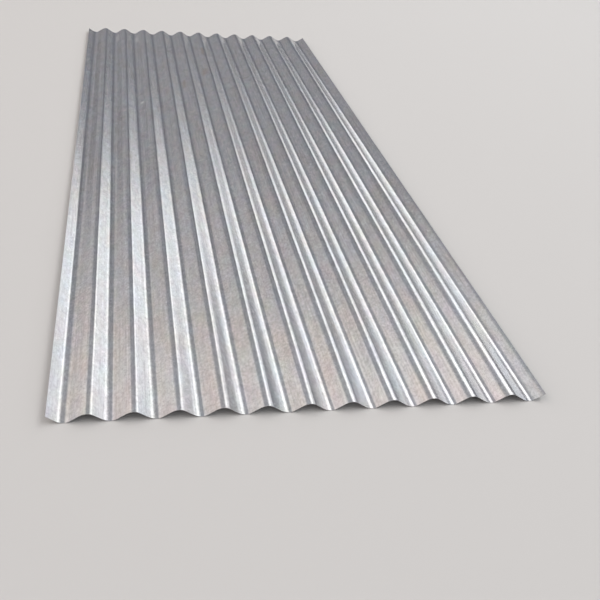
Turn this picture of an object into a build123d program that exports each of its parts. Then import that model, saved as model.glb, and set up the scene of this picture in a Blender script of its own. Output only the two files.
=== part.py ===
from build123d import *

import os
from itertools import cycle
from math import asin, atan, degrees, hypot

# Corrugated steel sheet, rolled from one flat strip into even round waves. The waves run along Y.
# The sheet lies with its troughs on the ground plane, a crest over the middle line, and both long
# edges turned up for the side lap. Sizes are in millimetres.

# Stock that the sheet is rolled from
sheet_length = 2438.0
strip_width = 1000.0
thickness = 0.7

# Wave, measured along the middle of the metal
wave_pitch = 76.0
wave_depth = 17.0
flank_flat = 19.0

# Each side of a wave is two equal bends joined by a flat that is tangent to both. The pitch, the
# depth and the flat leave one radius for the bends and one slope for the flats.
half_pitch = wave_pitch / 2
bend_radius = (half_pitch**2 + wave_depth**2 - flank_flat**2) / (4 * wave_depth)
centre_drop = 2 * bend_radius - wave_depth
centre_gap = hypot(half_pitch, centre_drop)
flank_slope = asin(2 * bend_radius / centre_gap) - atan(centre_drop / half_pitch)
bend_length = 2 * bend_radius * flank_slope

# What follows the middle crest, again and again: its turn (up is 1, down is -1) and its length
LEVEL, UP, DOWN = 0, 1, -1
WAVE = ((LEVEL, flank_flat), (UP, bend_length), (LEVEL, flank_flat), (DOWN, bend_length))


def middle_crest(lift):
    """The bend over the middle line, on the face that lies lift above the middle of the metal."""
    centre = (0, wave_depth / 2 - bend_radius)
    top_of_circle = 90
    slope = degrees(flank_slope)
    return CenterArc(centre, bend_radius + lift, top_of_circle + slope, -2 * slope)


def side_waves(crest, lift):
    """The same face from the middle crest to the long edge, until half of the strip is used up."""
    pieces = [crest]
    unused = (strip_width - bend_length) / 2
    for turn, length in cycle(WAVE):
        used = min(length, unused)
        start = pieces[-1] @ 1
        heading = pieces[-1] % 1
        if turn:
            radius = bend_radius - turn * lift
            pieces.append(JernArc(start, heading, radius, turn * degrees(used / bend_radius)))
        else:
            pieces.append(Line(start, start + heading * used))
        unused -= used
        if unused <= 0:
            return pieces[1:]


def wave_section():
    """Cross-section of the sheet: two faces that keep one thickness round every bend."""
    above = thickness / 2
    below = -thickness / 2
    crests = [middle_crest(above), middle_crest(below)]
    upper = side_waves(crests[0], above)
    lower = side_waves(crests[1], below)
    long_edge = Line(upper[-1] @ 1, lower[-1] @ 1)
    side = [*upper, long_edge, *lower]
    return make_face([*crests, *side, *mirror(side, about=Plane.YZ)])


rest_height = (wave_depth + thickness) / 2
sheet = extrude(Plane.XZ * wave_section(), sheet_length / 2, both=True)
corrugated_sheet = Pos(0, 0, rest_height) * sheet

os.makedirs("parts", exist_ok=True)
export_step(corrugated_sheet, "parts/corrugated_sheet.step")
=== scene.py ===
import math

import bpy
from mathutils import Matrix, Vector


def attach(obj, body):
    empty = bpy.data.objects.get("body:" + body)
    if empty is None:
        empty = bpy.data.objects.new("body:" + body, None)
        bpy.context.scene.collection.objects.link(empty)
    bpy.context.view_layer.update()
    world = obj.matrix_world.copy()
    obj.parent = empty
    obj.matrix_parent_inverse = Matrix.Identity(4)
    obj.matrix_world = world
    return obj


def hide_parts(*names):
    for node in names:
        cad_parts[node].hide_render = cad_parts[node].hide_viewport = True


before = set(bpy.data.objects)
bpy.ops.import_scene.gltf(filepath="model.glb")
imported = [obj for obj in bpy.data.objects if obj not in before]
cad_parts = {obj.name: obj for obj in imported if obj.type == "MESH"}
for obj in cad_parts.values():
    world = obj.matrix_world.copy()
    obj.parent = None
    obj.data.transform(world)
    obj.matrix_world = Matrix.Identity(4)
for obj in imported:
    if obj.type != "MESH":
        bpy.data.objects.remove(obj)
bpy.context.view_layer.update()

MM = 0.001
MATH = "ShaderNodeMath"
VECTOR_MATH = "ShaderNodeVectorMath"
MAP_RANGE = "ShaderNodeMapRange"

# Sheet, the same sizes as the solid, in metres. The wave is measured along the middle of the metal.
sheet_length = 2438.0 * MM
strip_width = 1000.0 * MM
thickness = 0.7 * MM
wave_pitch = 76.0 * MM
wave_depth = 17.0 * MM
flank_flat = 19.0 * MM

# The bend and the slope that join flats of that length into waves of that pitch and depth
half_pitch = wave_pitch / 2
bend_radius = (half_pitch**2 + wave_depth**2 - flank_flat**2) / (4 * wave_depth)
centre_drop = 2 * bend_radius - wave_depth
centre_gap = math.hypot(half_pitch, centre_drop)
flank_slope = math.asin(2 * bend_radius / centre_gap) - math.atan(centre_drop / half_pitch)
bend_length = 2 * bend_radius * flank_slope

# How far a rolled sheet strays from its drawing
slack_depth = 0.03             # share of its depth that a wave may lose in places
bend_lean = 0.3                # share by which bends are tighter on the right, wider on the left
roll_wander = 0.35 * MM        # sideways drift of the waves
edge_dip = 0.9 * MM            # how far the free long edges sink in places
edge_reach = 40.0 * MM         # how far in from the edge that starts
edge_curl = 2.5 * MM           # how far the left edge lifts at the near end
curl_reach = 26.0 * MM         # how far in from the edge that starts
curl_bow = 1.5                 # 1 for a straight lift, more for one that steepens to the edge
curl_from = 0.0 * MM           # where along the sheet it starts
curl_full = -0.4 * sheet_length  # and where it is full
uneven_every = 260.0 * MM      # distance over which the depth, the dip and the drift come and go
uneven_seed = 7

# Mesh: a row of faces to each 3.5 mm of strip and to each 24 mm of length, cut a hair short so
# that its faceted bends stay inside the solid
hair = 0.9 * MM
steps_across = 284
steps_along = 100
sharp_angle = math.radians(40)  # faces that meet at more are shaded with an edge between them

# Camera, fitted to the sheet in the photograph
photo_pixels = 600
photo_focal_pixels = 817.2
camera_place = Vector((-0.3101, -2.2944, 0.9217))
camera_yaw = math.radians(13.99)       # to the right of +Y
camera_pitch = math.radians(31.84)     # downwards
camera_roll = math.radians(-6.41)


def linear(colour):
    """An sRGB hex colour as the linear colour that shaders take."""
    parts = [int(colour[i:i + 2], 16) / 255 for i in (1, 3, 5)]
    parts = [c / 12.92 if c <= 0.04045 else ((c + 0.055) / 1.055) ** 2.4 for c in parts]
    return (*parts, 1.0)


def add(tree, kind, sockets=(), output=None, **settings):
    """Adds a node with its settings, sets or links its inputs, and returns the output asked for.

    The inputs come by name, or in their order when they are a tuple.
    """
    def pick(choice, key):
        if isinstance(key, int):
            return choice[key]
        return next(s for s in choice if s.enabled and key in (None, s.name))

    node = tree.nodes.new(kind)
    for name, value in settings.items():
        setattr(node, name, value)
    for key, value in sockets.items() if isinstance(sockets, dict) else enumerate(sockets):
        socket = pick(node.inputs, key)
        if isinstance(value, bpy.types.NodeSocket):
            tree.links.new(value, socket)
        else:
            socket.default_value = value
    return pick(node.outputs, output) if node.outputs else node


def galvanised_steel():
    """Galvanised steel: cold-rolled strip dipped in molten zinc.

    The zinc freezes in small flat crystals, the spangle, each with its own tint and gloss, and
    dulls to a soft grey satin. The rolls leave faint lines along the length, which show more
    where sheet has slid over sheet.
    """
    steel = bpy.data.materials.new("galvanised_steel")
    steel.use_nodes = True
    tree = steel.node_tree
    tree.nodes.clear()
    place = add(tree, "ShaderNodeTexCoord", output="Object")

    # Noises: how wide and long their features are in millimetres, their detail and their roughness
    features = {
        "grain": (5.0, 9.0, 3.0, 0.7),              # soft, over the crystals
        "roll lines": (3.2, 300.0, 2.0, 0.5),
        "rubs": (120.0, 420.0, 2.0, 0.5),           # where the rolling lines show more
        "patches": (46.0, 150.0, 4.0, 0.6),         # greyer and warmer zinc
        "mottling": (11.0, 36.0, 3.0, 0.7),
        "tint": (30.0, 70.0, 2.0, 0.5),
    }
    noise = {}
    for name, (width, length, detail, roughness) in features.items():
        stretched = add(tree, "ShaderNodeMapping", {
            "Vector": place, "Scale": (1 / (width * MM), 1 / (length * MM), 1 / (width * MM))})
        noise[name] = add(tree, "ShaderNodeTexNoise", {
            "Vector": stretched, "Scale": 1.0, "Detail": detail, "Roughness": roughness},
            "Color" if name == "tint" else "Fac")

    # Spangle: fine crystals, drawn at 3 to 4 mm because smaller ones wouldn't show
    spangle_size = 3.6 * MM
    spangle = add(tree, "ShaderNodeTexVoronoi", {"Vector": place, "Scale": 1 / spangle_size},
                  output="Color")
    crystal = add(tree, "ShaderNodeSeparateColor", {"Color": spangle})

    # Rolling lines, at their full depth where the sheet is rubbed and a third of it elsewhere
    low, high = 0.3, 0.7        # a noise hardly goes past these
    line_depth = add(tree, MAP_RANGE, (noise["roll lines"], low, high, -0.12, 0.08))
    rub_starts, rub_full, unrubbed_share = 0.42, 0.62, 0.35
    line_share = add(tree, MAP_RANGE, (noise["rubs"], rub_starts, rub_full, unrubbed_share, 1.0))
    shade = add(tree, MATH, (line_depth, line_share, 1.0), operation="MULTIPLY_ADD")

    # The other patterns, each a factor on the zinc's brightness from its darkest to its brightest
    crystal_shade = add(tree, MAP_RANGE, (crystal, 0.0, 1.0, 0.92, 1.06))
    shade = add(tree, MATH, (shade, crystal_shade), operation="MULTIPLY")
    for name, darkest, brightest in (
            ("grain", 0.89, 1.08), ("patches", 0.93, 1.07), ("mottling", 0.90, 1.08)):
        factor = add(tree, MAP_RANGE, (noise[name], low, high, darkest, brightest))
        shade = add(tree, MATH, (shade, factor), operation="MULTIPLY")

    # Bright zinc, dulled in patches, and slightly tinted to the warm or the cool side
    dull_starts, dull_full = 0.35, 0.65
    dulled = add(tree, MAP_RANGE, (noise["patches"], dull_starts, dull_full, 0.0, 1.0))
    zinc = add(tree, "ShaderNodeMix", {
        "Factor": dulled, "A": linear("#c5c8cb"), "B": linear("#bdbbba")}, data_type="RGBA")
    tint_strength = 0.13
    untinted = 1 - tint_strength / 2
    tinted = add(tree, VECTOR_MATH, (noise["tint"], (tint_strength,) * 3, (untinted,) * 3),
                 operation="MULTIPLY_ADD")
    zinc = add(tree, VECTOR_MATH, (zinc, tinted), operation="MULTIPLY")
    colour = add(tree, VECTOR_MATH, {0: zinc, "Scale": shade}, operation="SCALE")

    # Handling marks and painted highlights: where each is on the sheet, its half width and half
    # length in millimetres, its colour and its strength. Each fades out about its outline, ragged
    # by the grain.
    pale_mark_and_highlight, rusty = linear("#f0efec"), linear("#b5a190")
    fade_starts, fade_ends = 0.8, 1.5
    marks_and_highlights = (
        (-253.0, 354.0, 7.0, 12.0, pale_mark_and_highlight, 0.9),
        # painted highlights: these two pale patches stand in for bright reflections on the left
        # waves near the far end
        (-333.0, 1124.0, 9.0, 60.0, pale_mark_and_highlight, 0.45),
        (-257.0, 1123.0, 9.0, 60.0, pale_mark_and_highlight, 0.45),
        (-7.0, 956.0, 8.0, 70.0, rusty, 0.5),
        (-21.0, 699.0, 14.0, 50.0, rusty, 0.4),
        (-104.0, 565.0, 12.0, 60.0, rusty, 0.35),
    )
    for x, y, width, length, stain_and_highlight, strength in marks_and_highlights:
        centred = add(tree, "ShaderNodeMapping", {
            "Vector": place, "Location": (x * MM, y * MM, 0.0),
            "Scale": (width * MM, length * MM, 1.0)}, vector_type="TEXTURE")
        away = add(tree, VECTOR_MATH, (centred,), output="Value", operation="LENGTH")
        away = add(tree, MATH, (away, noise["grain"]), operation="ADD")
        stain_and_highlight_share = add(tree, MAP_RANGE, (away, fade_starts, fade_ends, strength, 0.0))
        colour = add(tree, "ShaderNodeMix", {
            "Factor": stain_and_highlight_share, "A": colour, "B": stain_and_highlight}, data_type="RGBA")

    # Satin gloss, a little different from crystal to crystal, and a faint relief
    glossiest, dullest = 0.21, 0.25
    satin = add(tree, MAP_RANGE, (crystal, 0.0, 1.0, glossiest, dullest))
    surface = add(tree, MATH, (crystal, noise["grain"]), operation="ADD")
    relief = add(tree, "ShaderNodeBump", {
        "Height": surface, "Strength": 0.07, "Distance": 0.1 * MM})
    shader = add(tree, "ShaderNodeBsdfPrincipled", {
        "Base Color": colour, "Metallic": 1.0, "Roughness": satin, "Normal": relief})
    add(tree, "ShaderNodeOutputMaterial", {"Surface": shader})
    return steel


def painted_floor():
    """Matt pale paint on a smooth floor: an even tone that takes soft shadows."""
    paint = bpy.data.materials.new("matt_floor_paint")
    paint.use_nodes = True
    shader = paint.node_tree.nodes["Principled BSDF"]
    shader.inputs["Base Color"].default_value = linear("#c7c6c4")
    shader.inputs["Roughness"].default_value = 0.9
    return paint


def rolling_tree():
    """Rolls a flat strip into waves: each half wave is a bend between two halves of a flat."""
    tree = bpy.data.node_groups.new("roll_into_waves", "GeometryNodeTree")
    sizes = {
        "Sheet length": sheet_length, "Strip width": strip_width,
        "Wave pitch": wave_pitch, "Wave depth": wave_depth,
        "Bend radius": bend_radius, "Bend length": bend_length, "Flank flat": flank_flat,
        "Bend lean": bend_lean, "Slack depth": slack_depth, "Roll wander": roll_wander,
        "Edge dip": edge_dip, "Edge reach": edge_reach,
        "Edge curl": edge_curl, "Curl reach": curl_reach, "Curl bow": curl_bow,
        "Curl from": curl_from, "Curl full": curl_full,
        "Uneven every": uneven_every, "Hair": hair, "Rise": (wave_depth + thickness) / 2,
    }
    counts = {"Steps across": steps_across, "Steps along": steps_along, "Seed": uneven_seed}
    for name in sizes:
        tree.interface.new_socket(name, in_out="INPUT", socket_type="NodeSocketFloat")
    for name in counts:
        tree.interface.new_socket(name, in_out="INPUT", socket_type="NodeSocketInt")
    tree.interface.new_socket("Metal", in_out="INPUT", socket_type="NodeSocketMaterial")
    tree.interface.new_socket("Sheet", in_out="OUTPUT", socket_type="NodeSocketGeometry")
    given = tree.nodes.new("NodeGroupInput").outputs

    strip = add(tree, "GeometryNodeMeshGrid", {
        "Size X": add(tree, MATH, (given["Strip width"], given["Hair"]), operation="SUBTRACT"),
        "Size Y": add(tree, MATH, (given["Sheet length"], given["Hair"]), operation="SUBTRACT"),
        "Vertices X": add(tree, MATH, (given["Steps across"], 1.0), operation="ADD"),
        "Vertices Y": add(tree, MATH, (given["Steps along"], 1.0), operation="ADD")})
    flat_place = add(tree, "GeometryNodeInputPosition")
    across = add(tree, "ShaderNodeSeparateXYZ", (flat_place,), output="X")
    along = add(tree, "ShaderNodeSeparateXYZ", (flat_place,), output="Y")

    # Which half wave a point is in, and how far it is from that crest or trough along the metal
    half_wave = add(tree, MATH, (given["Bend length"], given["Flank flat"]), operation="ADD")
    number = add(tree, MATH, (across, half_wave), operation="DIVIDE")
    number = add(tree, MATH, (number,), operation="ROUND")
    top_across = add(tree, MATH, (number, half_wave), operation="MULTIPLY")
    from_top = add(tree, MATH, (across, top_across), operation="SUBTRACT")
    side = add(tree, MATH, (from_top,), operation="SIGN")
    travelled = add(tree, MATH, (from_top,), operation="ABSOLUTE")

    # Half a bend, tighter on the right than on the left, and after it the flat
    lean = add(tree, MATH, (side, given["Bend lean"]), operation="MULTIPLY")
    lean = add(tree, MATH, (1.0, lean), operation="SUBTRACT")
    half_bend = add(tree, MATH, (given["Bend length"], 0.5), operation="MULTIPLY")
    half_bend = add(tree, MATH, (half_bend, lean), operation="MULTIPLY")
    on_bend = add(tree, MATH, (travelled, half_bend), operation="MINIMUM")
    on_flat = add(tree, MATH, (travelled, on_bend), operation="SUBTRACT")
    radius = add(tree, MATH, (given["Bend radius"], lean), operation="MULTIPLY")
    turn = add(tree, MATH, (on_bend, radius), operation="DIVIDE")
    sine = add(tree, MATH, (turn,), operation="SINE")
    cosine = add(tree, MATH, (turn,), operation="COSINE")

    # How far that leads sideways and down from the crest, or sideways and up from the trough
    sideways = add(tree, MATH, (radius, sine), operation="MULTIPLY")
    sideways = add(tree, MATH, (on_flat, cosine, sideways), operation="MULTIPLY_ADD")
    drop = add(tree, MATH, (1.0, cosine), operation="SUBTRACT")
    drop = add(tree, MATH, (radius, drop), operation="MULTIPLY")
    drop = add(tree, MATH, (on_flat, sine, drop), operation="MULTIPLY_ADD")
    half_depth = add(tree, MATH, (given["Wave depth"], 0.5), operation="MULTIPLY")
    trough = add(tree, MATH, (number, 2.0), operation="FLOORED_MODULO")
    trough = add(tree, MATH, (trough, 2.0), operation="MULTIPLY")
    crest_or_trough = add(tree, MATH, (1.0, trough), operation="SUBTRACT")
    top_x = add(tree, MATH, (given["Wave pitch"], 0.5), operation="MULTIPLY")
    top_x = add(tree, MATH, (number, top_x), operation="MULTIPLY")
    x = add(tree, MATH, (side, sideways, top_x), operation="MULTIPLY_ADD")
    z = add(tree, MATH, (half_depth, drop), operation="SUBTRACT")
    z = add(tree, MATH, (crest_or_trough, z), operation="MULTIPLY")

    # Unevenness: slow noises of next to 0 up to 1, each cut from a layer of its own, and how much
    # faster each changes across the sheet than along it. Those for the depth and the dip only take
    # away, so the sheet stays within its drawn width and height.
    low, high, least = 0.25, 0.75, 0.05
    uneven = {}
    for name, layer, faster in (("slack", 0.3, 2.5), ("dip", 3.7, 0.0), ("drift", 9.1, 1.0)):
        level = add(tree, MATH, (given["Seed"], layer), operation="ADD")
        spot = add(tree, "ShaderNodeCombineXYZ", {
            "X": add(tree, MATH, (across, faster), operation="MULTIPLY"), "Y": along,
            "Z": add(tree, MATH, (level, given["Uneven every"]), operation="MULTIPLY")})
        noise = add(tree, "ShaderNodeTexNoise", {
            "Vector": spot, "Detail": 2.0,
            "Scale": add(tree, MATH, (1.0, given["Uneven every"]), operation="DIVIDE")})
        uneven[name] = add(tree, MAP_RANGE, (noise, low, high, least, 1.0))

    # The waves slacken, and the long edges dip
    half_width = add(tree, MATH, (given["Strip width"], 0.5), operation="MULTIPLY")
    from_edge = add(tree, MATH, (across,), operation="ABSOLUTE")
    from_edge = add(tree, MATH, (half_width, from_edge), operation="SUBTRACT")
    near_edge = add(tree, MAP_RANGE, (from_edge, given["Edge reach"], 0.0),
                    interpolation_type="SMOOTHSTEP")
    slack = add(tree, MATH, (given["Slack depth"], uneven["slack"]), operation="MULTIPLY")
    slack = add(tree, MATH, (1.0, slack), operation="SUBTRACT")
    z = add(tree, MATH, (z, slack), operation="MULTIPLY")
    dip = add(tree, MATH, (given["Edge dip"], uneven["dip"]), operation="MULTIPLY")
    dip = add(tree, MATH, (dip, near_edge), operation="MULTIPLY")
    z = add(tree, MATH, (z, dip), operation="SUBTRACT")

    # The left edge curls up towards the near end
    from_left = add(tree, MATH, (across, half_width), operation="ADD")
    to_left_edge = add(tree, MAP_RANGE, (from_left, given["Curl reach"], 0.0))
    to_near_end = add(tree, MAP_RANGE, (along, given["Curl from"], given["Curl full"]),
                      interpolation_type="SMOOTHSTEP")
    curl = add(tree, MATH, (to_left_edge, given["Curl bow"]), operation="POWER")
    curl = add(tree, MATH, (curl, to_near_end), operation="MULTIPLY")
    z = add(tree, MATH, (given["Edge curl"], curl, z), operation="MULTIPLY_ADD")

    # The waves drift sideways, but not at the long edges, and their troughs rest on the floor
    held = add(tree, MATH, (1.0, near_edge), operation="SUBTRACT")
    drift = add(tree, MATH, (uneven["drift"], 0.5), operation="SUBTRACT")
    drift = add(tree, MATH, (given["Roll wander"], drift), operation="MULTIPLY")
    x = add(tree, MATH, (drift, held, x), operation="MULTIPLY_ADD")
    z = add(tree, MATH, (z, given["Rise"]), operation="ADD")

    rolled = add(tree, "GeometryNodeSetPosition", {
        "Geometry": strip, "Position": add(tree, "ShaderNodeCombineXYZ", (x, along, z))})
    smooth = add(tree, "GeometryNodeSetShadeSmooth", {"Geometry": rolled})
    real = add(tree, "GeometryNodeRealizeInstances", {"Geometry": smooth})
    finished = add(tree, "GeometryNodeSetMaterial", {"Geometry": real, "Material": given["Metal"]})
    tree.links.new(finished, tree.nodes.new("NodeGroupOutput").inputs["Sheet"])
    return tree, {**sizes, **counts}


def roll_sheet(metal):
    """The sheet, rolled as one surface, given the metal's thickness and made a plain mesh."""
    blank = bpy.data.objects.new("blank", bpy.data.meshes.new("blank"))
    bpy.context.scene.collection.objects.link(blank)
    tree, values = rolling_tree()
    rolling = blank.modifiers.new("rolling", "NODES")
    rolling.node_group = tree
    sockets = {s.name: s.identifier for s in tree.interface.items_tree if s.in_out == "INPUT"}
    for name, value in {**values, "Metal": metal}.items():
        rolling[sockets[name]] = value
    gauge = blank.modifiers.new("gauge", "SOLIDIFY")
    gauge.thickness = thickness
    gauge.offset = 0.0
    gauge.use_even_offset = True

    seen = blank.evaluated_get(bpy.context.evaluated_depsgraph_get())
    mesh = bpy.data.meshes.new_from_object(seen)
    mesh.name = "rolled_sheet"
    mesh.set_sharp_from_angle(angle=sharp_angle)
    bpy.data.objects.remove(blank)
    sheet = bpy.data.objects.new("rolled_sheet", mesh)
    bpy.context.scene.collection.objects.link(sheet)
    return sheet


def lay_floor():
    """A plain floor under the sheet, wide enough to run to the horizon."""
    reach = 40.0
    corners = [(-reach, -reach, 0), (reach, -reach, 0), (reach, reach, 0), (-reach, reach, 0)]
    mesh = bpy.data.meshes.new("studio_floor")
    mesh.from_pydata(corners, [], [(0, 1, 2, 3)])
    mesh.materials.append(painted_floor())
    floor = bpy.data.objects.new("studio_floor", mesh)
    bpy.context.scene.collection.objects.link(floor)


def hang_softbox(name, angle, width, start, end, brightness, colour):
    """A long soft lamp beside or over the sheet, 6 m from its middle, at an angle about its length.

    The angle is 0 on the right, 90 overhead and 180 on the left, and the lamp runs along Y from
    start to end. At a brightness of 1, a white thing that reflects the lamp shows as white.
    """
    distance = 6.0
    lamp = bpy.data.lights.new(name, "AREA")
    lamp.shape = "RECTANGLE"
    lamp.size, lamp.size_y = width, end - start
    lamp.energy = brightness * math.pi * lamp.size * lamp.size_y
    lamp.color = linear(colour)[:3]
    away = Vector((math.cos(math.radians(angle)), 0, math.sin(math.radians(angle))))
    along = Vector((0, 1, 0))
    turned = Matrix((along.cross(away), along, away)).transposed().to_4x4()
    box = bpy.data.objects.new(name, lamp)
    box.matrix_world = Matrix.Translation(away * distance + along * (start + end) / 2) @ turned
    box.visible_camera = False
    bpy.context.scene.collection.objects.link(box)


def light_studio():
    """Long soft lamps beside and over the sheet, in a plain room.

    Each flank of a wave mirrors the lamps on the side that it faces. The near part of the sheet
    mirrors their front lengths and the far part their rear ones, so each length has its own
    brightness. The table gives what hang_softbox takes, in its order.
    """
    softboxes = {
        "right_softbox": (57, 3.1, -4.0, 6.0, 1.95, "#fffefc"),
        "right_rear_softbox": (50, 1.8, 6.0, 12.7, 2.0, "#fffefc"),
        "low_right_softbox": (28, 2.2, 5.0, 9.5, 1.3, "#ffffff"),
        "low_right_rear_softbox": (26, 3.2, 9.5, 13.5, 1.22, "#ffffff"),
        "low_right_far_softbox": (25, 3.0, 13.5, 16.0, 0.50, "#ffffff"),
        "left_softbox": (141, 7.2, -4.0, 7.4, 0.89, "#fff1e5"),
        "left_rear_softbox": (139, 6.8, 7.4, 11.5, 0.45, "#fff8f2"),
        "left_far_softbox": (119, 8.4, 11.5, 26.0, 0.20, "#fffaf6"),
        # These three are for the sheet seen from above and from its other end
        "low_right_front_softbox": (27, 2.4, -4.0, 3.5, 0.6, "#ffffff"),
        "right_behind_softbox": (42, 4.4, -22.0, -4.0, 0.7, "#fffefc"),
        "left_behind_softbox": (141, 7.2, -22.0, -4.0, 0.45, "#fff8f2"),
    }
    for name, lamp in softboxes.items():
        hang_softbox(name, *lamp)

    world = bpy.data.worlds.new("studio")
    world.use_nodes = True
    tree = world.node_tree
    tree.nodes.clear()
    ray = add(tree, "ShaderNodeTexCoord", output="Generated")
    height = add(tree, "ShaderNodeSeparateXYZ", {"Vector": ray}, output="Z")

    # The far floor's tone at the horizon, a darker one over it and a paler one overhead, each with
    # the heights in degrees between which it takes over
    room = linear("#929193")
    for starts, full, tone in ((3, 9, "#86878f"), (26, 40, "#c9c9cd")):
        takes_over = add(tree, MAP_RANGE, (
            height, math.sin(math.radians(starts)), math.sin(math.radians(full))),
            interpolation_type="SMOOTHSTEP")
        room = add(tree, "ShaderNodeMix", {
            "Factor": takes_over, "A": room, "B": linear(tone)}, data_type="RGBA")
    glow = add(tree, "ShaderNodeBackground", {"Color": room, "Strength": 1.0})
    add(tree, "ShaderNodeOutputWorld", {"Surface": glow})
    bpy.context.scene.world = world


def set_camera():
    """The camera of the photograph: its place, its lens and how it was turned and rolled."""
    lens = bpy.data.cameras.new("camera")
    lens.sensor_fit = "HORIZONTAL"
    lens.lens = lens.sensor_width * photo_focal_pixels / photo_pixels
    ahead = Vector((math.sin(camera_yaw) * math.cos(camera_pitch),
                    math.cos(camera_yaw) * math.cos(camera_pitch), -math.sin(camera_pitch)))
    level = Vector((math.cos(camera_yaw), -math.sin(camera_yaw), 0))
    below = ahead.cross(level)
    right = math.cos(camera_roll) * level + math.sin(camera_roll) * below
    down = -math.sin(camera_roll) * level + math.cos(camera_roll) * below
    camera = bpy.data.objects.new("camera", lens)
    turned = Matrix((right, -down, -ahead)).transposed().to_4x4()
    camera.matrix_world = Matrix.Translation(camera_place) @ turned
    bpy.context.scene.collection.objects.link(camera)
    bpy.context.scene.camera = camera


set_camera()
lay_floor()
light_studio()
bpy.context.scene.view_settings.view_transform = "Standard"

sheet = roll_sheet(galvanised_steel())
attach(sheet, "root")
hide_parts("corrugated_sheet")
